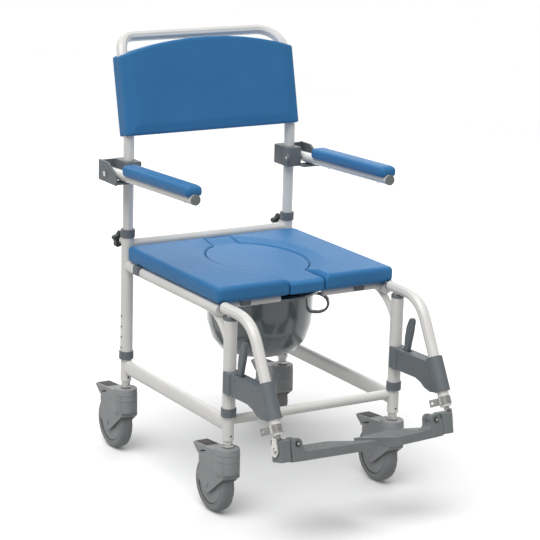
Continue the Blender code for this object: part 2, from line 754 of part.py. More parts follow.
def make_seat_clip(centre, axis, bar_radius, half_length):
    """Saddle under the seat that straddles a bar and is open below."""
    wall, top = 0.0035, SEAT_BOTTOM - GAP
    inner = bar_radius + GAP
    along = Vector(axis)
    across = Z_AXIS.cross(along)
    half = along * half_length
    reach = inner + wall
    low = centre - half - across * reach
    high = centre + half + across * reach
    lower = [min(a, b) for a, b in zip(low, high)]
    upper = [max(a, b) for a, b in zip(low, high)]
    lower[2] = centre.z - bar_radius * 0.45
    upper[2] = top
    saddle = box(lower, upper, 0.001, 1)
    over = along * (half_length + CUT_OVERRUN)
    bore = rod(centre - over, centre + over, inner)
    low = centre - over - across * inner
    high = centre + over + across * inner
    lower = [min(a, b) for a, b in zip(low, high)]
    upper = [max(a, b) for a, b in zip(low, high)]
    lower[2] = centre.z - bar_radius - CUT_OVERRUN
    upper[2] = centre.z
    return cut(saddle, bore, box(lower, upper))


def make_pan():
    """Deep round pan whose flat rim hangs on the two guides, with a loop grip moulded on."""
    rim_z, rim_radius, rim_height = 0.4283, 0.1345, 0.0045
    wall = 0.0025
    bottom = 0.2800
    outside = [(0.1187, 0.4283), (0.1187, 0.3850), (0.1155, 0.3500), (0.1050, 0.3150), (0.0860, 0.2915)]
    outside += [(0.0560, bottom)]
    inside = [(radius - wall, height + wall * 0.8) for radius, height in reversed(outside[1:])]
    top = rim_z + rim_height
    profile = [(rim_radius, top), (rim_radius, rim_z)] + outside
    profile += [(0.0005, bottom), (0.0005, bottom + wall)]
    profile += inside + [(0.1187 - wall, top)]
    bowl = turned(profile, (0, 0, 0), Z_AXIS, 28)
    plug = rod((0, 0, bottom), (0, 0, bottom + wall), 0.02, 8)
    return union(bowl, plug, make_pan_grip())


def make_pan_grip():
    """Loop grip on the bowl's wall, under the rim, drawn as (distance from the centre, z)."""
    centre, reach, rise, wall = (0.128, 0.4012), 0.0295, 0.0240, 0.1168
    strap, half_width = 0.0050, 0.0060
    facing, steps = math.radians(-42), 9
    angles = [math.radians(-90 + 180 * i / steps) for i in range(steps + 1)]
    outer = [(centre[0] + reach * math.cos(a), centre[1] + rise * math.sin(a)) for a in angles]
    inside = [
        (centre[0] + (reach - strap) * math.cos(a), centre[1] + (rise - strap) * math.sin(a)) for a in angles
    ]
    low, high = centre[1] - rise, centre[1] + rise
    outline = [(wall, low)] + outer + [(wall, high), (wall, high - strap)]
    outline += list(reversed(inside)) + [(wall, low + strap)]
    upright = Matrix(((1, 0, 0, 0), (0, 0, -1, 0), (0, 1, 0, 0), (0, 0, 0, 1)))
    return prism(outline, half_width, Matrix.Rotation(facing, 4, "Z") @ upright)


# Footrests


def hanger_lower_point(side, down):
    """A point on the sloping lower leg of the hanger, down along its axis."""
    slope_start = Vector((side * HALF_TRACK, -0.337, 0.4120))
    along = Vector((0, -math.sin(HANGER_SLOPE), -math.cos(HANGER_SLOPE)))
    return slope_start + along * down


HANGER_END = 0.191  # length of the sloping leg
ROD_RADIUS = 0.0065


def make_hanger(side):
    """Bent tube on a pivot pin that drops into the front leg, bored below for the footrest rod."""
    rear_end_y, pin_radius, pin_bottom, rod_bore_depth = -0.2040, 0.0080, 0.4120, 0.075
    x = side * HALF_TRACK
    path = [Vector((x, rear_end_y, HANGER_Z))]
    path += bend((x, -0.262, HANGER_Z), (x, -0.314, HANGER_Z), hanger_lower_point(side, 0), 7)
    path.append(hanger_lower_point(side, HANGER_END))
    body = tube(path, HANGER_RADIUS, 3)
    pin = rod((x, -HALF_BASE, pin_bottom), (x, -HALF_BASE, HANGER_Z), pin_radius, 12)
    bore = rod(
        hanger_lower_point(side, HANGER_END - rod_bore_depth),
        hanger_lower_point(side, HANGER_END + CUT_OVERRUN),
        ROD_RADIUS + 0.0004,
        12,
    )
    return cut(union(body, pin), bore)


def make_hanger_bush(side):
    """Flanged bush in the top of the front leg."""
    spigot_bottom, flange_bottom, flange_top = 0.4080, FRONT_LEG_TOP + GAP, 0.4424
    bore, spigot = 0.0083, LEG_BORE - GAP
    profile = [
        (LEG_RADIUS - 0.0005, flange_top),
        (LEG_RADIUS, flange_top - 0.001),
        (LEG_RADIUS, flange_bottom),
        (spigot, flange_bottom),
        (spigot, spigot_bottom),
        (bore, spigot_bottom),
        (bore, flange_top),
    ]
    return turned(profile, (side * HALF_TRACK, -HALF_BASE, 0), Z_AXIS, 16)


def make_latch_housing(side):
    """Saddle against the front leg, an arm that houses the release latch and a sleeve on the hanger."""
    saddle_half, saddle_front, saddle_bottom, saddle_top = 0.0168, -0.2585, 0.2790, 0.3275
    sleeve_radius, sleeve_top, sleeve_bottom, arm_half = 0.0172, 0.083, 0.158, 0.0140
    x = side * HALF_TRACK
    leg = Vector((x, -HALF_BASE, 0))
    saddle_low = (x - saddle_half, saddle_front, saddle_bottom)
    saddle = box(saddle_low, (x + saddle_half, -HALF_BASE + 0.0007, saddle_top), 0.0020, 1)
    sleeve = rod(
        hanger_lower_point(side, sleeve_top), hanger_lower_point(side, sleeve_bottom), sleeve_radius, 20
    )
    top, bottom = hanger_lower_point(side, sleeve_top), hanger_lower_point(side, sleeve_bottom)
    outline = [
        (-HALF_BASE - 0.0030, saddle_bottom + 0.0009),
        (-0.2600, saddle_bottom + 0.0009),
        (-0.3300, 0.2820),
        (-0.3480, 0.2775),
        (-0.3640, 0.2690),
        (-0.3850, 0.2655),
        (bottom.y + 0.0120, bottom.z - 0.0040),
        (bottom.y, bottom.z + 0.004),
        (top.y, top.z - 0.002),
        (top.y + 0.015, top.z - 0.010),
        (-0.2650, saddle_top - 0.0009),
        (-HALF_BASE - 0.0030, saddle_top - 0.0009),
    ]
    arm = bevelled(prism(outline, arm_half, side_plane(x)), 0.002, 1, math.radians(50))
    body = union(saddle, arm, sleeve)
    leg_bore = rod(leg + Z_AXIS * 0.25, leg + Z_AXIS * 0.36, LEG_RADIUS + GAP, 18)
    sleeve_bore = rod(
        hanger_lower_point(side, sleeve_top - 0.02),
        hanger_lower_point(side, sleeve_bottom + 0.02),
        HANGER_RADIUS + GAP,
        18,
    )
    lever_slot = box((x - 0.0060, -0.2900, 0.2980), (x + 0.0060, -0.2625, 0.3400))
    return cut(body, leg_bore, sleeve_bore, lever_slot)


LEVER_PIVOT = (-0.2765, 0.3080)


def make_latch_lever(side):
    """Release lever that stands up out of the latch housing."""
    half_thickness = 0.0052
    y, z = LEVER_PIVOT
    outline = [
        (y - 0.0060, z - 0.0060),
        (y + 0.0060, z - 0.0060),
        (y + 0.0055, z + 0.0200),
        (y + 0.0060, z + 0.0450),
        (y + 0.0010, z + 0.0740),
        (y - 0.0060, z + 0.0900),
        (y - 0.0100, z + 0.0950),
        (y - 0.0190, z + 0.0955),
        (y - 0.0225, z + 0.0900),
        (y - 0.0180, z + 0.0600),
        (y - 0.0125, z + 0.0400),
        (y - 0.0075, z + 0.0180),
    ]
    lever = prism(outline, half_thickness, side_plane(side * HALF_TRACK))
    return bevelled(lever, 0.0018, 1, math.radians(35))


def make_heel_band(side):
    """Bright band round the hanger's end, with a drilled tab that points rearwards."""
    middle_down, half_length, inner, outer = 0.178, 0.0085, HANGER_RADIUS + GAP, 0.0142
    tab_half_thickness, tab_reach, hole_radius, turn_out = 0.0010, 0.0335, 0.0025, math.radians(45)
    centre = hanger_lower_point(side, middle_down)
    along = hanger_lower_point(side, 1) - hanger_lower_point(side, 0)
    band = ring(centre, along, inner, outer, 2 * half_length, 0.0004)
    rearwards = Vector((0, math.cos(HANGER_SLOPE), -math.sin(HANGER_SLOPE)))
    outwards = rearwards * math.cos(turn_out) - X_AXIS * math.sin(turn_out)
    turn = Matrix((outwards.cross(-along), outwards, -along)).transposed().to_4x4()
    bpy.ops.mesh.primitive_cube_add(size=1)
    tab = bpy.context.active_object
    size = (2 * tab_half_thickness, tab_reach - (outer - 0.001), 2 * half_length - 0.001)
    tab.data.transform(Matrix.Diagonal((*size, 1)))
    tab.data.transform(Matrix.Translation((0, (tab_reach + outer - 0.001) / 2, 0)))
    tab.data.transform(Matrix.Translation(centre) @ turn)
    hole = centre + outwards * (tab_reach - 0.006)
    through = outwards.cross(-along) * 0.01
    drill = rod(hole - through, hole + through, hole_radius, 8)
    return cut(union(band, tab), drill)


def foot_frame(side):
    """Placing of the footrest's tilted frame: x outwards from the chair, y rearwards, z up.

    Its origin is on the front top edge of the tread, in the chair's middle plane.
    """
    turn = Matrix.Rotation(-FOOT_TILT, 4, "X")
    return Matrix.Translation((0, -0.4500, 0.2075)) @ turn @ Matrix.Diagonal((side, 1, 1, 1))


def foot_point(side, x, y, z):
    return foot_frame(side) @ Vector((x, y, z))


def foot_solid(obj, side):
    """Moves a solid that was drawn in the footrest's frame into the chair."""
    obj.data.transform(foot_frame(side))
    if side < 0:
        obj.data.flip_normals()
    return obj


PIN_X, PIN_Z = 0.1720, 0.0185
PIN_RADIUS = 0.0040
FOOT_DEPTH = 0.105
BLOCK_DEPTH = 0.036
BLOCK_INNER, BLOCK_OUTER = 0.1895, 0.2150
TREAD_THICKNESS = 0.0180
LUG_Y = (0.0115, 0.0245)


def make_footrest_rod(side):
    """Bright rod that telescopes out of the hanger, flattened and bolted to the hinge block."""
    plate_half_thickness, plate_radius, head_radius = 0.0020, 0.0125, 0.0060
    top = hanger_lower_point(side, HANGER_END - 0.070)
    block_top = foot_point(side, BLOCK_OUTER, 0.016, 0.0295)
    down_to_block = (hanger_lower_point(side, 0).z - block_top.z) / math.cos(HANGER_SLOPE)
    bottom = hanger_lower_point(side, down_to_block - 0.0050)
    shaft = rod(top, bottom, ROD_RADIUS)
    plate_x = side * (BLOCK_OUTER + GAP + plate_half_thickness)
    eye = foot_point(side, 0, 0.017, 0.0085)
    neck = hanger_lower_point(side, HANGER_END + 0.0040)
    along = (Vector((0, neck.y - eye.y, neck.z - eye.z))).normalized()
    square = Vector((0, along.z, -along.y)) * ROD_RADIUS
    angle = math.degrees(math.atan2(-square.z, -square.y))
    outline = [(neck.y + square.y, neck.z + square.z), (neck.y - square.y, neck.z - square.z)]
    outline += arc((eye.y, eye.z), plate_radius, angle, angle + 180, 8)
    plate = prism(outline, plate_half_thickness, side_plane(plate_x))
    face = Vector((plate_x + side * plate_half_thickness, eye.y, eye.z))
    head = rod(face - X_AXIS * side * 0.001, face + X_AXIS * side * 0.0030, head_radius, 14, 0.0008)
    return union(shaft, plate, head)


def make_hinge_block(side):
    """Block on the rod's plate, with the hinge lug and the footplate's pin."""
    block = box((BLOCK_INNER, 0.0, -0.0155), (BLOCK_OUTER, BLOCK_DEPTH, 0.0295), 0.0015, 1)
    lug_radius = 0.0100
    lug = box(
        (PIN_X, LUG_Y[0], PIN_Z - lug_radius), (BLOCK_INNER + 0.004, LUG_Y[1], PIN_Z + lug_radius)
    )
    eye = rod((PIN_X, LUG_Y[0], PIN_Z), (PIN_X, LUG_Y[1], PIN_Z), lug_radius)
    pin = rod((PIN_X, -0.0008, PIN_Z), (PIN_X, BLOCK_DEPTH - 0.0008, PIN_Z), PIN_RADIUS, 12)
    return foot_solid(union(block, lug, eye, pin), side)


def make_footplate(side):
    """Flip-up tread with a raised hinge wall and a slanted inner end, sagging a little inwards."""
    knuckle_radius, wall_x, corner_x = 0.0115, 0.1880, 0.1400
    inner_front, inner_rear = (0.0690, 0.0300) if side > 0 else (-0.0190, 0.0350)
    sag = math.tan(math.radians(2.1 if side > 0 else 0.9))
    front_corner = 0.0080
    tread_outline = [
        (wall_x, 0.0030),
        (corner_x, 0.0),
        (inner_front, 0.0),
        (inner_rear, FOOT_DEPTH),
        (corner_x, FOOT_DEPTH),
        (wall_x - 0.012, BLOCK_DEPTH + front_corner),
        (wall_x, BLOCK_DEPTH),
    ]
    half, place = at_height(-TREAD_THICKNESS, 0)
    tread = prism(tread_outline, half, place)
    for vertex in tread.data.vertices:
        vertex.co.z -= sag * (wall_x - vertex.co.x)
    wall_outline = [(wall_x, -TREAD_THICKNESS + 0.001), (wall_x, PIN_Z - 0.002)]
    wall_outline += arc((PIN_X, PIN_Z), knuckle_radius, 0, 165, 7)
    wall_outline += arc((PIN_X - knuckle_radius - 0.012, 0.0115), 0.0120, 0, -90, 4)
    wall_outline += [(PIN_X - knuckle_radius - 0.014, -TREAD_THICKNESS + 0.001)]
    upright = Matrix(((1, 0, 0, 0), (0, 0, -1, BLOCK_DEPTH / 2), (0, 1, 0, 0), (0, 0, 0, 1)))
    wall = prism(wall_outline, BLOCK_DEPTH / 2 - 0.0002, upright)
    body = union(tread, wall)
    clearance = knuckle_radius + 0.0004
    gap_y = (LUG_Y[0] - 0.0010, LUG_Y[1] + 0.0010)
    eye_gap = rod((PIN_X, gap_y[0], PIN_Z), (PIN_X, gap_y[1], PIN_Z), clearance)
    side_gap = box(
        (PIN_X, gap_y[0] + 0.0001, PIN_Z - clearance), (wall_x + CUT_OVERRUN, gap_y[1] - 0.0001, PIN_Z + 0.02)
    )
    bore_end = (PIN_X, BLOCK_DEPTH + CUT_OVERRUN, PIN_Z)
    pin_bore = rod((PIN_X, -CUT_OVERRUN, PIN_Z), bore_end, PIN_RADIUS + GAP, 12)
    return foot_solid(cut(body, eye_gap, side_gap, pin_bore), side)


def make_footrests(materials, frame):
    for name, side in SIDES.items():
        x = side * HALF_TRACK
        leg_top = Vector((x, -HALF_BASE, FRONT_LEG_TOP))
        finish(make_hanger_bush(side), f"hanger_bush_{name}", materials["plastic"], leg_top, frame)
        hanger = finish(make_hanger(side), f"hanger_{name}", materials["frame"], leg_top, frame)
        plug_centre = Vector((x, -0.2021, HANGER_Z))
        plug = rod(plug_centre - Y_AXIS * 0.0016, plug_centre + Y_AXIS * 0.0016, HANGER_RADIUS, 16, 0.0008)
        finish(plug, f"hanger_plug_{name}", materials["dark"], plug_centre, hanger)
        housing_origin = Vector((x, -HALF_BASE, 0.3030))
        housing = finish(
            make_latch_housing(side), f"latch_housing_{name}", materials["plastic"], housing_origin, hanger
        )
        lever_pivot = Vector((x, *LEVER_PIVOT))
        lever = make_latch_lever(side)
        finish(lever, f"latch_lever_{name}", materials["plastic"], lever_pivot, housing)
        band_centre = hanger_lower_point(side, 0.178)
        finish(make_heel_band(side), f"heel_band_{name}", materials["metal"], band_centre, hanger)
        rod_origin = hanger_lower_point(side, HANGER_END)
        foot_rod = finish(
            make_footrest_rod(side), f"footrest_rod_{name}", materials["metal"], rod_origin, hanger
        )
        pin = foot_point(side, PIN_X, 0, PIN_Z)
        block = finish(
            make_hinge_block(side), f"footrest_block_{name}", materials["plastic"], pin, foot_rod
        )
        finish(make_footplate(side), f"footplate_{name}", materials["plastic"], pin, block)


def make_chair():
    materials = make_materials()
    chair = bpy.data.objects.new("chair", None)
    chair_collection.objects.link(chair)
    chair.location = (0, LEG_MID_Y, 0)
    built_origin[chair.name] = Vector()
    floor_middle = Vector()
    base = finish(make_base_frame(), "base_frame", materials["frame"], floor_middle, chair)
    make_castors(materials, base)
    frame_origin = Vector((0, 0, LEG_BOTTOM))
    frame = finish(make_seat_frame(), "seat_frame", materials["frame"], frame_origin, chair)
    make_collars(materials, frame)
    back_origin = Vector((0, HALF_BASE, REAR_LEG_TOP))
    back_bar = tube(back_tube_path(), BACK_TUBE_RADIUS, 3)
    back_tube = finish(back_bar, "back_tube", materials["frame"], back_origin, frame)
    finish(make_back_pad(), "back_pad", materials["pad"], back_point(0, 0, 0), back_tube)
    for name, side in SIDES.items():
        knob = make_clamp_knob(side)
        finish(knob, f"clamp_knob_{name}", materials["dark"], knob_boss_point(side), frame)
    make_arms(materials, back_tube)
    seat_origin = Vector((0, 0, SEAT_BOTTOM))
    seat = finish(make_seat(), "seat", materials["pad"], seat_origin, frame)
    finish(make_infill(), "seat_infill", materials["pad"], Vector((0, 0, LEDGE_TOP)), seat)
    for name, side in SIDES.items():
        rear_clip = Vector((side * HALF_TRACK, 0.164, RAIL_Z))
        clip = make_seat_clip(rear_clip, Y_AXIS, RAIL_RADIUS, 0.0110)
        finish(clip, f"seat_clip_rear_{name}", materials["plastic"], rear_clip, seat)
        front_clip = Vector((side * 0.1440, FRONT_BAR_Y, FRONT_BAR_Z))
        clip = make_seat_clip(front_clip, X_AXIS, FRONT_BAR_RADIUS, 0.0125)
        finish(clip, f"seat_clip_front_{name}", materials["plastic"], front_clip, seat)
    finish(make_pan(), "pan", materials["pan"], Vector((0, 0, 0.4283)), frame)
    make_footrests(materials, frame)


clear_scene()
chair_collection = new_collection("commode_chair")
built_origin = {}
make_chair()
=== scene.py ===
"""Looks of a wheeled commode chair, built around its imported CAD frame.

Metres, +Z up. The sitter faces -Y. The names call -X left and +X right, as the frame does.
"""

import math

import bmesh
import bpy
import numpy as np
from mathutils import Matrix, Vector


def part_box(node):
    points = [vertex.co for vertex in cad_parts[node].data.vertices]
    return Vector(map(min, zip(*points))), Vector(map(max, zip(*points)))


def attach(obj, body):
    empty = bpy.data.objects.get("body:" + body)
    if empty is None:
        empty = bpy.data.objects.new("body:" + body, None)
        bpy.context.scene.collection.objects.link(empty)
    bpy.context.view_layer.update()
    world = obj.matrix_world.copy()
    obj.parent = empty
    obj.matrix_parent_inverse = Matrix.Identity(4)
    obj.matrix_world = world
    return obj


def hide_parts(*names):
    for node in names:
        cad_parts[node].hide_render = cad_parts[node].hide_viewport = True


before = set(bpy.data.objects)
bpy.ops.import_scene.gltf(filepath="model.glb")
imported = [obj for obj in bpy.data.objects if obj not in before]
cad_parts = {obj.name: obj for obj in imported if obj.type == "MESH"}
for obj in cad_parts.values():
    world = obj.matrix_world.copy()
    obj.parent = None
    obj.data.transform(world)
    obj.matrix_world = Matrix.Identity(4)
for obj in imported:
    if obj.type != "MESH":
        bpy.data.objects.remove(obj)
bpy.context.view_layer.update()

# Driving dimensions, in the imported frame's coordinates
SIDES = {"left": -1, "right": 1}
ENDS = {"front": -1, "rear": 1}
LEG_MID_Y = 0.0537
HALF_TRACK = 0.210
HALF_BASE = 0.2315
PAD_LEAN = math.radians(13)
APERTURE_HALF_WIDTH = 0.104
APERTURE_HALF_LENGTH = 0.143
APERTURE_Y = LEG_MID_Y + 0.016
SLOT_HALF_WIDTH = 0.0435
TAB_HALF_WIDTH = 0.033
TAB_REAR_Y = LEG_MID_Y + 0.200
TAB_RAMP_START_Y = TAB_REAR_Y - 0.052
TAB_RAMP_LENGTH = 0.046
ARM_RISE = math.radians(2.1)
ARM_PIVOT = Vector((0.2445, LEG_MID_Y + 0.234, 0.660))
ARM_TUBE_RADIUS = 0.0115
FOOT_TILT = math.radians(14)
FOOT_ORIGIN = Vector((0, LEG_MID_Y - 0.4500, 0.2075))
FOOT_DEPTH = 0.105
FOOT_WALL_X = 0.1880
LUG_FRONT = Vector((0.1720, -0.3925, 0.2257))
LEVER_PIVOT = Vector((HALF_TRACK, LEG_MID_Y - 0.2765, 0.3180))
CASTOR_TOP = 0.1568
TYRE_INNER_RADIUS = 0.0445
WHEEL_RADIUS = 0.0625

# Colours, in linear light
COAT_WHITE = (0.80, 0.79, 0.76)
FOAM_BLUE = (0.038, 0.190, 0.430)
FOAM_CELL_DARK = (0.034, 0.172, 0.400)
FOAM_CELL_LIGHT = (0.041, 0.200, 0.445)
PLASTIC_GREY = (0.190, 0.205, 0.208)
FITTING_SLATE = (0.148, 0.168, 0.184)
CASTOR_GREY = (0.290, 0.297, 0.303)
KNOB_BLACK = (0.035, 0.042, 0.044)
# Painted shade: near-black discs laid at the bottoms of holes and recesses
PAINTED_HOLE_SHADE = (0.008, 0.008, 0.009)
TREAD_BROWN = (0.060, 0.055, 0.052)
PAN_SLATE = (0.135, 0.158, 0.165)
STEEL_BRIGHT = (0.58, 0.57, 0.55)
HUB_GREY = (0.285, 0.295, 0.305)
SEAM_BLACK = (0.045, 0.048, 0.050)
TYRE_GREY = (0.245, 0.252, 0.258)
FLOOR_WHITE = (0.95, 0.95, 0.95)


# Materials


class Shader:
    """A Principled material whose nodes are added one by one."""

    def __init__(self, name, roughness, metallic=0.0):
        self.material = bpy.data.materials.new(name)
        self.material.use_nodes = True
        self.tree = self.material.node_tree
        self.surface = self.tree.nodes["Principled BSDF"]
        self.surface.inputs["Roughness"].default_value = roughness
        self.surface.inputs["Metallic"].default_value = metallic
        self.place = self.node("ShaderNodeTexCoord").outputs["Object"]

    def node(self, kind, **settings):
        made = self.tree.nodes.new(kind)
        for key, value in settings.items():
            setattr(made, key, value)
        return made

    def link(self, source, target):
        self.tree.links.new(source, target)

    def noise(self, scale, detail=2.0, stretch=None):
        """Noise whose scale is in bumps per metre, optionally stretched along the axes."""
        place = self.place
        if stretch:
            mapping = self.node("ShaderNodeMapping")
            mapping.inputs["Scale"].default_value = stretch
            self.link(place, mapping.inputs["Vector"])
            place = mapping.outputs["Vector"]
        made = self.node("ShaderNodeTexNoise")
        made.inputs["Scale"].default_value = scale
        made.inputs["Detail"].default_value = detail
        self.link(place, made.inputs["Vector"])
        return made.outputs["Fac"]

    def ramp(self, factor, first, second, low=0.3, high=0.7):
        made = self.node("ShaderNodeValToRGB")
        made.color_ramp.elements[0].position = low
        made.color_ramp.elements[1].position = high
        made.color_ramp.elements[0].color = (*first, 1)
        made.color_ramp.elements[1].color = (*second, 1)
        self.link(factor, made.inputs["Fac"])
        return made.outputs["Color"]

    def spread(self, factor, low, high):
        """The factor stretched to run from low to high."""
        made = self.node("ShaderNodeMapRange")
        made.inputs["To Min"].default_value = low
        made.inputs["To Max"].default_value = high
        self.link(factor, made.inputs["Value"])
        return made.outputs["Result"]

    def mix(self, factor, first, second):
        made = self.node("ShaderNodeMix", data_type="RGBA")
        self.link(factor, made.inputs["Factor"])
        self.link(first, made.inputs[6])
        self.link(second, made.inputs[7])
        return made.outputs[2]

    def mottled(self, colour, change, scale):
        """The colour with a slow, faint change of tone."""
        darker = [c * (1 - change) for c in colour]
        lighter = [min(c * (1 + change), 1) for c in colour]
        return self.ramp(self.noise(scale, 3.0), darker, lighter)

    def paint(self, colour):
        self.link(colour, self.surface.inputs["Base Color"])

    def bump(self, heights):
        """Each height is (factor, depth in metres); they add up."""
        normal = None
        for factor, depth in heights:
            made = self.node("ShaderNodeBump")
            made.inputs["Distance"].default_value = depth
            made.inputs["Strength"].default_value = 1.0
            self.link(factor, made.inputs["Height"])
            if normal:
                self.link(normal, made.inputs["Normal"])
            normal = made.outputs["Normal"]
        self.link(normal, self.surface.inputs["Normal"])

    def rough(self, low, high, scale):
        self.link(self.spread(self.noise(scale), low, high), self.surface.inputs["Roughness"])


def powder_coat():
    shader = Shader("powder_coat", 0.35)
    shader.paint(shader.mottled(COAT_WHITE, 0.03, 14))
    shader.rough(0.28, 0.42, 60)
    shader.surface.inputs["Coat Weight"].default_value = 0.25
    shader.surface.inputs["Coat Roughness"].default_value = 0.2
    shader.bump([(shader.noise(900, 1.0), 0.00012)])
    return shader.material


def moulded_foam():
    """Self-skinned polyurethane: satin blue skin with a fine leathery grain."""
    shader = Shader("blue_polyurethane", 0.5)
    tone = shader.mottled(FOAM_BLUE, 0.05, 9)
    cell = shader.node("ShaderNodeTexVoronoi")
    cell.inputs["Scale"].default_value = 950
    shader.link(shader.place, cell.inputs["Vector"])
    speck = shader.ramp(cell.outputs["Distance"], FOAM_CELL_DARK, FOAM_CELL_LIGHT, 0.1, 0.6)
    shader.paint(shader.mix(shader.spread(shader.noise(4), 0.25, 0.45), tone, speck))
    shader.rough(0.42, 0.58, 120)
    shader.surface.inputs["Specular IOR Level"].default_value = 0.25
    shader.bump([(cell.outputs["Distance"], 0.00012), (shader.noise(22, 2.0), 0.0006)])
    return shader.material


def grained_plastic(name, colour, low, high):
    """Injection-moulded plastic with a spark-eroded grain; low and high bound its roughness."""
    shader = Shader(name, (low + high) / 2)
    shader.paint(shader.mottled(colour, 0.06, 35))
    shader.rough(low, high, 150)
    shader.bump([(shader.noise(2600, 1.0), 0.00010), (shader.noise(90, 1.0), 0.00012)])
    return shader.material


def pan_plastic():
    shader = Shader("slate_polypropylene", 0.25)
    shader.paint(shader.mottled(PAN_SLATE, 0.03, 12))
    shader.rough(0.16, 0.22, 40)
    shader.surface.inputs["Coat Weight"].default_value = 0.5
    shader.surface.inputs["Coat Roughness"].default_value = 0.08
    shader.bump([(shader.noise(30, 1.0), 0.0002)])
    return shader.material


def bright_steel():
    """Plated steel with fine drawing lines."""
    shader = Shader("bright_steel", 0.25, 1.0)
    shader.paint(shader.mottled(STEEL_BRIGHT, 0.12, 60))
    lines = shader.noise(1.0, 2.0, (3000, 3000, 60))
    shader.link(shader.spread(lines, 0.18, 0.38), shader.surface.inputs["Roughness"])
    shader.bump([(lines, 0.00004)])
    return shader.material


def wheel_rubber(name, axle):
    """Grey tyre round a slightly lighter hub, with a dark seam between them."""
    seam_start, seam_half, seam_end = -0.014, 0.007, 0.016
    shader = Shader(name, 0.6)
    shift = shader.node("ShaderNodeVectorMath", operation="SUBTRACT")
    shift.inputs[1].default_value = axle
    shader.link(shader.place, shift.inputs[0])
    flatten = shader.node("ShaderNodeVectorMath", operation="MULTIPLY")
    flatten.inputs[1].default_value = (0, 1, 1)
    shader.link(shift.outputs[0], flatten.inputs[0])
    radius = shader.node("ShaderNodeVectorMath", operation="LENGTH")
    shader.link(flatten.outputs[0], radius.inputs[0])
    outwards = shader.node("ShaderNodeMapRange")
    outwards.inputs["From Max"].default_value = WHEEL_RADIUS
    shader.link(radius.outputs["Value"], outwards.inputs["Value"])
    parting = TYRE_INNER_RADIUS / WHEEL_RADIUS
    rings = shader.node("ShaderNodeValToRGB")
    stops = rings.color_ramp.elements
    stops[0].position = parting + seam_start
    stops[0].color = (*HUB_GREY, 1)
    stops[1].position = parting + seam_end
    stops[1].color = (*TYRE_GREY, 1)
    for edge in (-seam_half, seam_half):
        stops.new(parting + edge).color = (*SEAM_BLACK, 1)
    shader.link(outwards.outputs["Result"], rings.inputs["Fac"])
    tone = shader.mottled((0.93, 0.93, 0.93), 0.05, 50)
    tinted = shader.node("ShaderNodeMix", data_type="RGBA", blend_type="MULTIPLY")
    tinted.inputs["Factor"].default_value = 1.0
    shader.link(rings.outputs["Color"], tinted.inputs[6])
    shader.link(tone, tinted.inputs[7])
    shader.paint(tinted.outputs[2])
    shader.rough(0.5, 0.72, 90)
    shader.bump([(shader.noise(1400, 2.0), 0.00016)])
    return shader.material


def floor_surface():
    shader = Shader("studio_floor", 0.6)
    shader.paint(shader.mottled(FLOOR_WHITE, 0.005, 1.5))
    shader.surface.inputs["Specular IOR Level"].default_value = 0.0
    return shader.material


# Mesh helpers


def linked(name, mesh):
    obj = bpy.data.objects.new(name, mesh)
    bpy.context.scene.collection.objects.link(obj)
    return obj


def baked(obj):
    """Applies the object's modifiers to its mesh."""
    graph = bpy.context.evaluated_depsgraph_get()
    mesh = bpy.data.meshes.new_from_object(obj.evaluated_get(graph))
    obj.modifiers.clear()
    obj.data = mesh
    return obj


def points_of(mesh):
    points = np.empty(len(mesh.vertices) * 3, np.float32)
    mesh.vertices.foreach_get("co", points)
    return points.reshape(-1, 3).astype(float)


def set_points(mesh, points):
    mesh.vertices.foreach_set("co", points.astype(np.float32).ravel())
    mesh.update()


def smoothstep(values):
    t = np.clip(values, 0, 1)
    return t * t * (3 - 2 * t)


def moulded(node, name, voxel, rounds, turn=None):
    """A fine closed skin over a plain CAD solid, with its edges rounded as a mould rounds them.

    turn is a rotation that stands the solid square while it is remeshed.
    """
    turn = turn or Matrix.Identity(4)
    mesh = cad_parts[node].data.copy()
    mesh.transform(turn)
    obj = linked(name, mesh)
    weld = obj.modifiers.new("Weld", "WELD")
    weld.merge_threshold = 0.00001
    remesh = obj.modifiers.new("Remesh", "REMESH")
    remesh.mode = "VOXEL"
    remesh.voxel_size = voxel
    smooth = obj.modifiers.new("Smooth", "SMOOTH")
    smooth.factor = 0.5
    smooth.iterations = rounds
    baked(obj)
    obj.data.name = name
    return obj


def dressed(obj, material, body):
    obj.data.materials.clear()
    obj.data.materials.append(material)
    obj.data.shade_smooth()
    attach(obj, body)
    return obj


# Soft pieces


def edge_fall(distance, depth, reach):
    """A fall of the given depth at an edge, fading out over the reach."""
    return depth * (1 - smoothstep(distance / reach))


def top_share(heights, low, high, still):
    """0 in the lowest part of a piece, rising smoothly to 1 at its top."""
    return smoothstep((heights - low - still) / (high - low - still))


def tab_ramp(y):
    """0 over most of the tab, rising smoothly to 1 at its rear end."""
    return smoothstep((y - TAB_RAMP_START_Y) / TAB_RAMP_LENGTH)


def aperture_distance(x, y):
    """Rough distances outside the seat's opening: from its oval, its front slot and its rear tab."""
    mean_half = (APERTURE_HALF_WIDTH + APERTURE_HALF_LENGTH) / 2
    ratio = np.hypot(x / APERTURE_HALF_WIDTH, (y - APERTURE_Y) / APERTURE_HALF_LENGTH)
    oval = (ratio - 1) * mean_half
    beside_slot = np.hypot(np.maximum(np.abs(x) - SLOT_HALF_WIDTH, 0), np.maximum(y - APERTURE_Y, 0))
    rear_steepness, far_away = 3, 1.0
    past_tab = np.maximum(y - TAB_REAR_Y, 0) * rear_steepness
    beside_tab = np.hypot(np.maximum(np.abs(x) - TAB_HALF_WIDTH, 0), past_tab)
    beside_tab = np.where(y > APERTURE_Y, beside_tab, far_away)
    return np.maximum(oval, 0), beside_slot, beside_tab


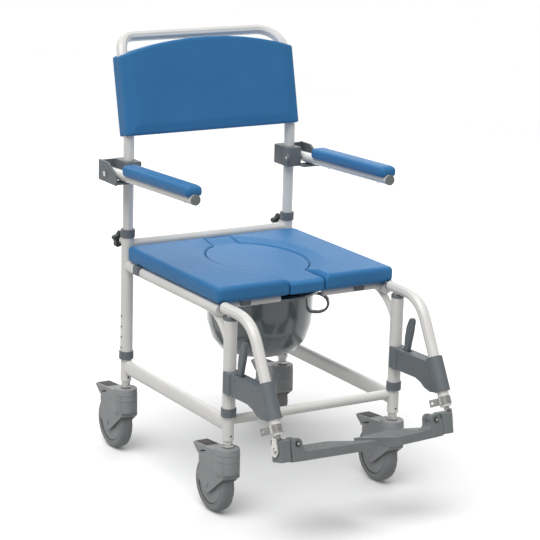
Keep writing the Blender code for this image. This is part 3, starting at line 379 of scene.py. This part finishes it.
def make_seat(skin):
    """Moulded seat whose top falls gently towards the opening and is level beside the tab's rear end."""
    slot_end_y, slot_flare = LEG_MID_Y - 0.105, 0.060
    gap, mouth_gap, gap_start, gap_reach = 0.0004, 0.0026, 0.002, 0.010
    low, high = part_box("seat")
    seat = moulded("seat", "seat_moulding", 0.0022, 10)
    points = points_of(seat.data)
    x, y, z = points.T.copy()
    oval, slot, tab = aperture_distance(x, y)
    ramp = tab_ramp(y)
    fall = edge_fall(oval, 0.0060, 0.040)
    fall = np.maximum(fall, edge_fall(slot, 0.0045, 0.012))
    fall = np.maximum(fall, edge_fall(tab, 0.0050, 0.010) * (1 - ramp))
    seam = np.clip(1 - np.minimum(np.minimum(oval, slot), tab) / 0.0035, 0, 1)
    fall += 0.0030 * seam * (1 - 0.7 * ramp)
    fall += edge_fall(high.x - np.abs(x), 0.0012, 0.045)
    points[:, 2] -= fall * top_share(z, low.z, high.z, 0.010)
    in_front = np.clip((slot_end_y - y) / slot_flare, 0, 1)
    at_slot = 1 - smoothstep((np.abs(x) - SLOT_HALF_WIDTH - gap_start) / gap_reach)
    points[:, 0] += np.sign(x) * (gap + mouth_gap * in_front) * at_slot * (y < slot_end_y)
    set_points(seat.data, points)
    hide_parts("seat")
    dressed(seat, skin, "seat")


def make_infill(skin):
    """Lift-out infill: a dished oval, a tab that rises to the seat's top, and a rolled front tongue."""
    dish, below_seat, roll, roll_length = 0.0032, 0.0010, 0.0055, 0.014
    low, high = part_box("seat_infill")
    seat_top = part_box("seat")[1].z
    infill = moulded("seat_infill", "infill_moulding", 0.0020, 7)
    points = points_of(infill.data)
    x, y, z = points.T.copy()
    ratio = np.hypot(x / APERTURE_HALF_WIDTH, (y - APERTURE_Y) / APERTURE_HALF_LENGTH)
    upper = top_share(z, low.z, high.z, 0.012)
    points[:, 2] -= dish * (1 - smoothstep(ratio)) * upper
    points[:, 2] += (seat_top - high.z - below_seat) * tab_ramp(y) * upper
    points[:, 2] -= roll * np.clip(1 - (y - low.y) / roll_length, 0, 1) ** 2 * upper
    set_points(infill.data, points)
    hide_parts("seat_infill")
    dressed(infill, skin, "infill")


def make_back_pad(skin):
    """Back pad with softly falling edges on its front."""
    low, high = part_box("back_pad")
    pivot = Matrix.Translation(Vector((0, LEG_MID_Y + HALF_BASE, low.z)))
    square = pivot @ Matrix.Rotation(PAD_LEAN, 4, "X") @ pivot.inverted()
    pad = moulded("back_pad", "back_moulding", 0.0024, 14, square)
    points = points_of(pad.data)
    x, y, z = points.T.copy()
    fall = edge_fall(high.x - np.abs(x), 0.0042, 0.034)
    fall = np.maximum(fall, edge_fall(z - z.min(), 0.0032, 0.026))
    points[:, 1] += fall * top_share(-y, -y.max(), -y.min(), 0.012)
    set_points(pad.data, points)
    pad.data.transform(square.inverted())
    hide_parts("back_pad")
    dressed(pad, skin, "back")


def make_arm_pad(name, skin):
    """Arm pad with a crowned top and a rounded nose, moulded over the tube."""
    crown, nose, nose_length = 0.0016, 0.0030, 0.020
    low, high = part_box(f"arm_pad_{name}")
    pivot = Matrix.Translation(Vector((0, high.y, low.z)))
    square = pivot @ Matrix.Rotation(ARM_RISE, 4, "X") @ pivot.inverted()
    pad = moulded(f"arm_pad_{name}", f"arm_moulding_{name}", 0.0012, 14, square)
    points = points_of(pad.data)
    x, y, z = points.T.copy()
    across = (x - (low.x + high.x) / 2) / ((high.x - low.x) / 2)
    at_nose = np.clip(1 - (y - y.min()) / nose_length, 0, 1)
    upper = top_share(z, z.min(), z.max(), 0.008)
    points[:, 2] -= (crown * across**2 + nose * at_nose**2) * upper
    set_points(pad.data, points)
    pad.data.transform(square.inverted())
    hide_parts(f"arm_pad_{name}")
    dressed(pad, skin, f"arm_{name}")


# Fine details on the hard pieces


# Rings of a dome, as shares of its radius and height
DOME_RINGS = ((1.0, -0.25), (0.92, 0.45), (0.55, 0.9))


def dome_mesh(name, places, up, radius, height, sides=8):
    """Many low domes in one mesh, each sunk a little into the face below it."""
    up = Vector(up).normalized()
    across = up.orthogonal().normalized()
    along = up.cross(across)
    mesh = bmesh.new()
    for place in places:
        rings = []
        for scale, lift in DOME_RINGS:
            ring = []
            for i in range(sides):
                angle = 2 * math.pi * i / sides
                offset = (across * math.cos(angle) + along * math.sin(angle)) * radius * scale
                ring.append(mesh.verts.new(place + offset + up * height * lift))
            rings.append(ring)
        top = mesh.verts.new(place + up * height)
        for lower, upper in zip(rings, rings[1:]):
            for i in range(sides):
                j = (i + 1) % sides
                mesh.faces.new((lower[i], lower[j], upper[j], upper[i]))
        for i in range(sides):
            mesh.faces.new((rings[-1][i], rings[-1][(i + 1) % sides], top))
        mesh.faces.new(list(reversed(rings[0])))
    made = bpy.data.meshes.new(name)
    mesh.to_mesh(made)
    mesh.free()
    return made


def tread_point(side, x, y, sag):
    """A point on the tread's top, x outwards from the chair's middle plane, y rearwards."""
    turn = Matrix.Rotation(-FOOT_TILT, 3, "X")
    return FOOT_ORIGIN + turn @ Vector((side * x, y, -sag * (FOOT_WALL_X - x)))


def make_tread_dots(name, side, plastic):
    """Rows of small grip dots on the footplate's tread."""
    inner_front, inner_rear = (0.0690, 0.0300) if side > 0 else (-0.0190, 0.0350)
    sag = math.tan(math.radians(2.1 if side > 0 else 0.9))
    pitch, margin, outer_x = 0.0056, 0.007, 0.142
    dot_radius, dot_height = 0.0013, 0.0009
    places = []
    rows = int((FOOT_DEPTH - 2 * margin) / pitch) + 1
    for row in range(rows):
        y = margin + row * pitch
        start = inner_front + (inner_rear - inner_front) * y / FOOT_DEPTH + margin
        x = outer_x - (pitch / 2 if row % 2 else 0)
        while x > start:
            places.append(tread_point(side, x, y, sag))
            x -= pitch
    up = Matrix.Rotation(-FOOT_TILT, 3, "X") @ Vector((-side * sag, 0, 1))
    mesh = dome_mesh(f"tread_dots_{name}", places, up, dot_radius, dot_height)
    dots = linked(mesh.name, mesh)
    dressed(dots, plastic, f"footplate_{name}")


def rounded_plate(name, size, bevel, place):
    """A thin plate with rounded edges and corners."""
    mesh = bmesh.new()
    bmesh.ops.create_cube(mesh, size=1)
    bmesh.ops.scale(mesh, vec=size, verts=mesh.verts)
    upright = [e for e in mesh.edges if abs(e.verts[0].co.z - e.verts[1].co.z) > size[2] / 2]
    bmesh.ops.bevel(mesh, geom=upright, offset=bevel * 3, segments=5, affect="EDGES", profile=0.5)
    rim = [e for e in mesh.edges if e.calc_face_angle(0) > math.radians(60)]
    bmesh.ops.bevel(mesh, geom=rim, offset=bevel, segments=2, affect="EDGES", profile=0.5)
    made = bpy.data.meshes.new(name)
    mesh.to_mesh(made)
    mesh.free()
    made.transform(place)
    return linked(name, made)


def make_pedal_tread(place_name, foot, rubber):
    """Dark tread let into the top of a brake pedal."""
    front, rear = Vector((0, 0.0660, 0.1427)), Vector((0, 0.1120, 0.1389))
    width, thickness, edge_round = 0.0290, 0.0014, 0.0004
    slope = math.atan2(rear.z - front.z, rear.y - front.y)
    middle = foot + (front + rear) / 2
    place = Matrix.Translation(middle) @ Matrix.Rotation(slope, 4, "X")
    size = (width, (rear - front).length, thickness)
    tread = rounded_plate(f"pedal_tread_{place_name}", size, edge_round, place)
    dressed(tread, rubber, f"pedal_{place_name}")


def turned_mesh(name, profile, centre, axis, sides=28):
    """A profile of (radius, height) points turned round an axis; its ends are closed on the axis."""
    turn = Vector((0, 0, 1)).rotation_difference(Vector(axis)).to_matrix().to_4x4()
    place = Matrix.Translation(centre) @ turn
    mesh = bmesh.new()
    rings = []
    for radius, height in profile:
        ring = []
        for i in range(sides):
            angle = 2 * math.pi * i / sides
            ring.append(mesh.verts.new((radius * math.cos(angle), radius * math.sin(angle), height)))
        rings.append(ring)
    for lower, upper in zip(rings, rings[1:]):
        for i in range(sides):
            j = (i + 1) % sides
            mesh.faces.new((lower[i], lower[j], upper[j], upper[i]))
    mesh.faces.new(list(reversed(rings[0])))
    mesh.faces.new(rings[-1])
    bmesh.ops.transform(mesh, matrix=place, verts=mesh.verts)
    bmesh.ops.recalc_face_normals(mesh, faces=mesh.faces)
    made = bpy.data.meshes.new(name)
    mesh.to_mesh(made)
    mesh.free()
    return linked(name, made)


def make_socket_screw(name, centre, axis, radius, metal, body):
    """Cap screw head with a round recess in its face."""
    height, recess, depth, sunk = radius * 0.7, radius * 0.5, radius * 0.45, 0.0005
    profile = [
        (radius, -sunk),
        (radius, height * 0.75),
        (radius * 0.9, height),
        (recess, height),
        (recess * 0.96, height - depth),
        (recess * 0.1, height - depth),
    ]
    screw = turned_mesh(name, profile, centre, axis)
    dressed(screw, metal, body)
    screw.data.set_sharp_from_angle(angle=math.radians(35))


def make_dark_disc(name, centre, axis, radius, dark, body):
    """Shadowed bottom of a drilled hole."""
    profile = [(radius, -0.0006), (radius, 0.0), (radius * 0.05, 0.0)]
    disc = turned_mesh(name, profile, centre, axis, 16)
    dressed(disc, dark, body)


def make_leg_holes(dark):
    """Discs of painted shade at the bottoms of the holes in the posts and the rear sleeves."""
    post_front, post_hole_z, post_hole_radius = 0.0115, 0.184, 0.0024
    sleeve_side, lowest, pitch, count, sleeve_hole_radius = 0.0131, 0.2531, 0.0249, 4, 0.0031
    for end_name, end in ENDS.items():
        for side_name, side in SIDES.items():
            place = Vector((side * HALF_TRACK, LEG_MID_Y + end * HALF_BASE - post_front, post_hole_z))
            name = f"post_hole_{end_name}_{side_name}"
            make_dark_disc(name, place, (0, -1, 0), post_hole_radius, dark, "base")
    for side_name, side in SIDES.items():
        for i in range(count):
            x = side * (HALF_TRACK + sleeve_side)
            place = Vector((x, LEG_MID_Y + HALF_BASE, lowest + i * pitch))
            name = f"sleeve_hole_{side_name}_{i + 1}"
            make_dark_disc(name, place, (side, 0, 0), sleeve_hole_radius, dark, "seat_frame")


def make_stem_nuts(metal):
    """Bright hexagon round each castor stem, on top of its housing."""
    bore, corner, height, lift = 0.0099, 0.0131, 0.0066, 0.0006
    profile = [
        (bore, 0.0),
        (corner - 0.0003, 0.0),
        (corner, 0.0006),
        (corner, 0.0058),
        (corner - 0.0005, height),
        (bore, height),
    ]
    for end_name, end in ENDS.items():
        for side_name, side in SIDES.items():
            place = Vector((side * HALF_TRACK, LEG_MID_Y + end * HALF_BASE, CASTOR_TOP + lift))
            nut = turned_mesh(f"stem_nut_{end_name}_{side_name}", profile, place, (0, 0, 1), 6)
            dressed(nut, metal, "base")
            nut.data.set_sharp_from_angle(angle=math.radians(30))


def make_housing_rings(place_name, foot, plastic):
    """Two shallow mould ridges round a castor's stem housing."""
    radius, ridge, sunk, width = 0.0262, 0.0006, 0.0004, 0.0012
    for number, z in enumerate((0.1430, 0.1290)):
        profile = [
            (radius - sunk, z),
            (radius + ridge, z + width * 0.3),
            (radius + ridge, z + width * 0.7),
            (radius - sunk, z + width),
        ]
        name = f"housing_ridge_{place_name}_{number + 1}"
        ridge_ring = turned_mesh(name, profile, foot, (0, 0, 1), 40)
        dressed(ridge_ring, plastic, f"fork_{place_name}")


def make_arm_screws(side_name, side, metal):
    """Two screw heads under an arm tube, which hold its pad."""
    radius, height, sunk = 0.0036, 0.0020, 0.0004
    for number, along in enumerate((0.1227, 0.3233)):
        y = ARM_PIVOT.y - along * math.cos(ARM_RISE)
        z = ARM_PIVOT.z + along * math.sin(ARM_RISE) - ARM_TUBE_RADIUS + sunk
        place = Vector((side * ARM_PIVOT.x, y, z))
        mesh = dome_mesh(f"arm_screw_{side_name}_{number + 1}", [place], (0, 0, -1), radius, height, 14)
        dressed(linked(mesh.name, mesh), metal, f"arm_{side_name}")


def make_bracket_screw(side_name, side, metal, plastic):
    """Bossed screw on the inner face of an arm bracket."""
    place = Vector((side * 0.1905, 0.2600, 0.6640))
    recess, screw_radius, screw_depth = 0.0006, 0.0040, 0.0008
    boss = [
        (0.0105, -0.0004),
        (0.0100, 0.0024),
        (0.0094, 0.0030),
        (0.0058, 0.0030),
        (0.0055, recess),
        (0.0003, recess),
    ]
    ring = turned_mesh(f"bracket_boss_{side_name}", boss, place, (-side, 0, 0))
    dressed(ring, plastic, "back")
    ring.data.set_sharp_from_angle(angle=math.radians(35))
    screw_place = place + Vector((-side * screw_depth, 0, 0))
    make_socket_screw(f"bracket_screw_{side_name}", screw_place, (-side, 0, 0), screw_radius, metal, "back")


def make_lever_pins(side_name, side, dark):
    """Ends of a latch lever's pin, on both faces of the latch housing."""
    half_length, radius = 0.0141, 0.0018
    for face in (-1, 1):
        which = "inner" if face == -side else "outer"
        place = Vector((side * LEVER_PIVOT.x + face * half_length, LEVER_PIVOT.y, LEVER_PIVOT.z))
        name = f"lever_pin_{side_name}_{which}"
        make_dark_disc(name, place, (face, 0, 0), radius, dark, f"hanger_{side_name}")


def make_lug_screw(side_name, side, metal, dark):
    """Screw in its recess, on the front of a footplate's hinge lug; a disc of painted shade darkens the
    recess.
    """
    recess_radius, screw_radius, lift = 0.0058, 0.0036, 0.0006
    front_normal = Vector((0, -math.cos(FOOT_TILT), math.sin(FOOT_TILT)))
    place = Vector((side * LUG_FRONT.x, LUG_FRONT.y, LUG_FRONT.z)) + front_normal * lift
    body = f"footrest_{side_name}"
    make_dark_disc(f"lug_recess_{side_name}", place, front_normal, recess_radius, dark, body)
    make_socket_screw(f"lug_screw_{side_name}", place, front_normal, screw_radius, metal, body)


def make_hub_ring(place_name, axle, face, plastic):
    """Raised ring and boss on one face of a castor wheel, inside the fork's cheek."""
    face_offset, sunk, low_step, high_step = 0.0125, 0.0004, 0.0011, 0.0014
    profile = [
        (0.0438, -sunk),
        (0.0434, 0.0007),
        (0.0420, low_step),
        (0.0170, low_step),
        (0.0150, 0.0004),
        (0.0140, high_step),
        (0.0075, high_step),
        (0.0070, -sunk),
    ]
    centre = axle + Vector((face * face_offset, 0, 0))
    which = "inner" if face > 0 else "outer"
    ring = turned_mesh(f"hub_ring_{place_name}_{which}", profile, centre, (face, 0, 0), 40)
    dressed(ring, plastic, f"wheel_{place_name}")
    ring.data.set_sharp_from_angle(angle=math.radians(35))


# Hard CAD nodes


def smoothing_group():
    """Welds a node and shades it smooth, with edges over 32 degrees kept sharp."""
    group = bpy.data.node_groups.new("smooth_by_angle", "GeometryNodeTree")
    group.interface.new_socket("Geometry", in_out="INPUT", socket_type="NodeSocketGeometry")
    group.interface.new_socket("Geometry", in_out="OUTPUT", socket_type="NodeSocketGeometry")
    source = group.nodes.new("NodeGroupInput")
    target = group.nodes.new("NodeGroupOutput")
    merge = group.nodes.new("GeometryNodeMergeByDistance")
    merge.inputs["Distance"].default_value = 0.00001
    smooth = group.nodes.new("GeometryNodeSetShadeSmooth")
    angle = group.nodes.new("GeometryNodeInputMeshEdgeAngle")
    compare = group.nodes.new("FunctionNodeCompare")
    compare.operation = "GREATER_THAN"
    compare.inputs[1].default_value = math.radians(32)
    store = group.nodes.new("GeometryNodeStoreNamedAttribute")
    store.data_type = "BOOLEAN"
    store.domain = "EDGE"
    store.inputs["Name"].default_value = "sharp_edge"
    group.links.new(source.outputs[0], merge.inputs["Geometry"])
    group.links.new(merge.outputs[0], smooth.inputs["Geometry"])
    group.links.new(smooth.outputs[0], store.inputs["Geometry"])
    group.links.new(angle.outputs["Unsigned Angle"], compare.inputs[0])
    group.links.new(compare.outputs[0], store.inputs["Value"])
    group.links.new(store.outputs[0], target.inputs[0])
    return group


# Starts of the CAD nodes' names and their finish; the first match counts
NODE_FINISHES = (
    (("base_frame", "seat_frame", "back_tube", "arm_tube"), "coat"),
    (("hanger_left", "hanger_right"), "coat"),
    (("castor_fork", "castor_pedal"), "castor"),
    (("pan",), "pan"),
    (("hanger_plug", "clamp_knob"), "dark"),
    (("arm_bolt", "heel_band", "footrest_rod"), "steel"),
    (("arm_bracket", "latch", "leg_collar", "back_collar", "hanger_bush", "seat_clip"), "fitting"),
)


def finish_for(node, finishes):
    for starts, finish in NODE_FINISHES:
        if node.startswith(starts):
            return finishes[finish]
    return finishes["plastic"]


def dress_frame(finishes):
    smoothing = smoothing_group()
    for name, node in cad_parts.items():
        if name.startswith("castor_wheel"):
            low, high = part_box(name)
            material = wheel_rubber(f"rubber_{name}", (low + high) / 2)
        else:
            material = finish_for(name, finishes)
        node.data.materials.clear()
        node.data.materials.append(material)
        normals = node.data.attributes.get("custom_normal")
        if normals:
            node.data.attributes.remove(normals)
        modifier = node.modifiers.new("Smooth", "NODES")
        modifier.node_group = smoothing


# Studio


def make_studio():
    """Pale floor under an even white sky, a wide key light and a broad light on the backdrop side."""
    world = bpy.data.worlds.new("studio")
    world.use_nodes = True
    background = world.node_tree.nodes["Background"]
    background.inputs["Color"].default_value = (1, 1, 1, 1)
    background.inputs["Strength"].default_value = 0.38
    bpy.context.scene.world = world
    bpy.ops.mesh.primitive_plane_add(size=80, location=(0, 0, 0))
    floor = bpy.context.active_object
    floor.name = "studio_floor"
    floor.data.materials.append(floor_surface())
    floor.visible_diffuse = False
    key = bpy.data.lights.new("key_light", "SUN")
    key.energy = 2.35
    key.angle = math.radians(50)
    place_lamp(key, Vector((-0.36, -0.24, 0.90)))
    backdrop = bpy.data.lights.new("backdrop_light", "AREA")
    backdrop.shape = "RECTANGLE"
    backdrop.size, backdrop.size_y = 5.0, 2.4
    backdrop.energy = 60
    place_lamp(backdrop, Vector((1.68, 2.72, 2.1)))


def place_lamp(light, place):
    """Puts a lamp at a place; a sun shines towards the origin, an area light at the seat."""
    lamp = bpy.data.objects.new(light.name, light)
    lamp.location = place
    seat_middle = Vector((0, 0, 0.5))
    aim = seat_middle - place if light.type == "AREA" else -place
    lamp.rotation_euler = aim.to_track_quat("-Z", "Y").to_euler()
    lamp.visible_camera = False
    bpy.context.scene.collection.objects.link(lamp)


def make_camera():
    """Camera to the sitter's front left, a little above the seat, rolled slightly."""
    azimuth, elevation, roll = math.radians(-31.726), math.radians(14.477), math.radians(1.695)
    distance, target = 4.721, Vector((0.0200, LEG_MID_Y - 0.0079, 0.4649))
    outwards = math.cos(elevation)
    back = Vector((math.sin(azimuth) * outwards, -math.cos(azimuth) * outwards, math.sin(elevation)))
    level = Vector((math.cos(azimuth), math.sin(azimuth), 0))
    above = back.cross(level)
    right = level * math.cos(roll) + above * math.sin(roll)
    up = above * math.cos(roll) - level * math.sin(roll)
    data = bpy.data.cameras.new("camera")
    data.lens = 142.2
    data.sensor_width = 36
    camera = bpy.data.objects.new("camera", data)
    bpy.context.scene.collection.objects.link(camera)
    place = Matrix((right, up, back)).transposed().to_4x4()
    camera.matrix_world = Matrix.Translation(target + back * distance) @ place
    bpy.context.scene.camera = camera
    bpy.context.scene.view_settings.view_transform = "Standard"


# The chair

finishes = {
    "coat": powder_coat(),
    "plastic": grained_plastic("grey_plastic", PLASTIC_GREY, 0.42, 0.60),
    "fitting": grained_plastic("slate_plastic", FITTING_SLATE, 0.42, 0.60),
    "castor": grained_plastic("castor_plastic", CASTOR_GREY, 0.42, 0.58),
    "dark": grained_plastic("dark_plastic", KNOB_BLACK, 0.38, 0.55),
    # painted shade for the bottoms of holes and recesses
    "painted_hole_shade": grained_plastic("hole_shadow", PAINTED_HOLE_SHADE, 0.70, 0.85),
    "tread": grained_plastic("pedal_tread", TREAD_BROWN, 0.60, 0.80),
    "pan": pan_plastic(),
    "steel": bright_steel(),
}
foam = moulded_foam()
dress_frame(finishes)
make_seat(foam)
make_infill(foam)
make_back_pad(foam)
for side_name, side in SIDES.items():
    make_arm_pad(side_name, foam)
    make_tread_dots(side_name, side, finishes["plastic"])
for end_name, end in ENDS.items():
    for side_name, side in SIDES.items():
        place_name = f"{end_name}_{side_name}"
        foot = Vector((side * HALF_TRACK, LEG_MID_Y + end * HALF_BASE, 0))
        make_pedal_tread(place_name, foot, finishes["tread"])
        low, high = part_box(f"castor_wheel_{place_name}")
        for face in (-1, 1):
            make_hub_ring(place_name, (low + high) / 2, face, finishes["castor"])
        make_housing_rings(place_name, foot, finishes["castor"])
make_leg_holes(finishes["painted_hole_shade"])
make_stem_nuts(finishes["steel"])
for side_name, side in SIDES.items():
    make_arm_screws(side_name, side, finishes["steel"])
    make_bracket_screw(side_name, side, finishes["steel"], finishes["fitting"])
for side_name, side in SIDES.items():
    make_lever_pins(side_name, side, finishes["painted_hole_shade"])
    make_lug_screw(side_name, side, finishes["steel"], finishes["painted_hole_shade"])
make_studio()
make_camera()
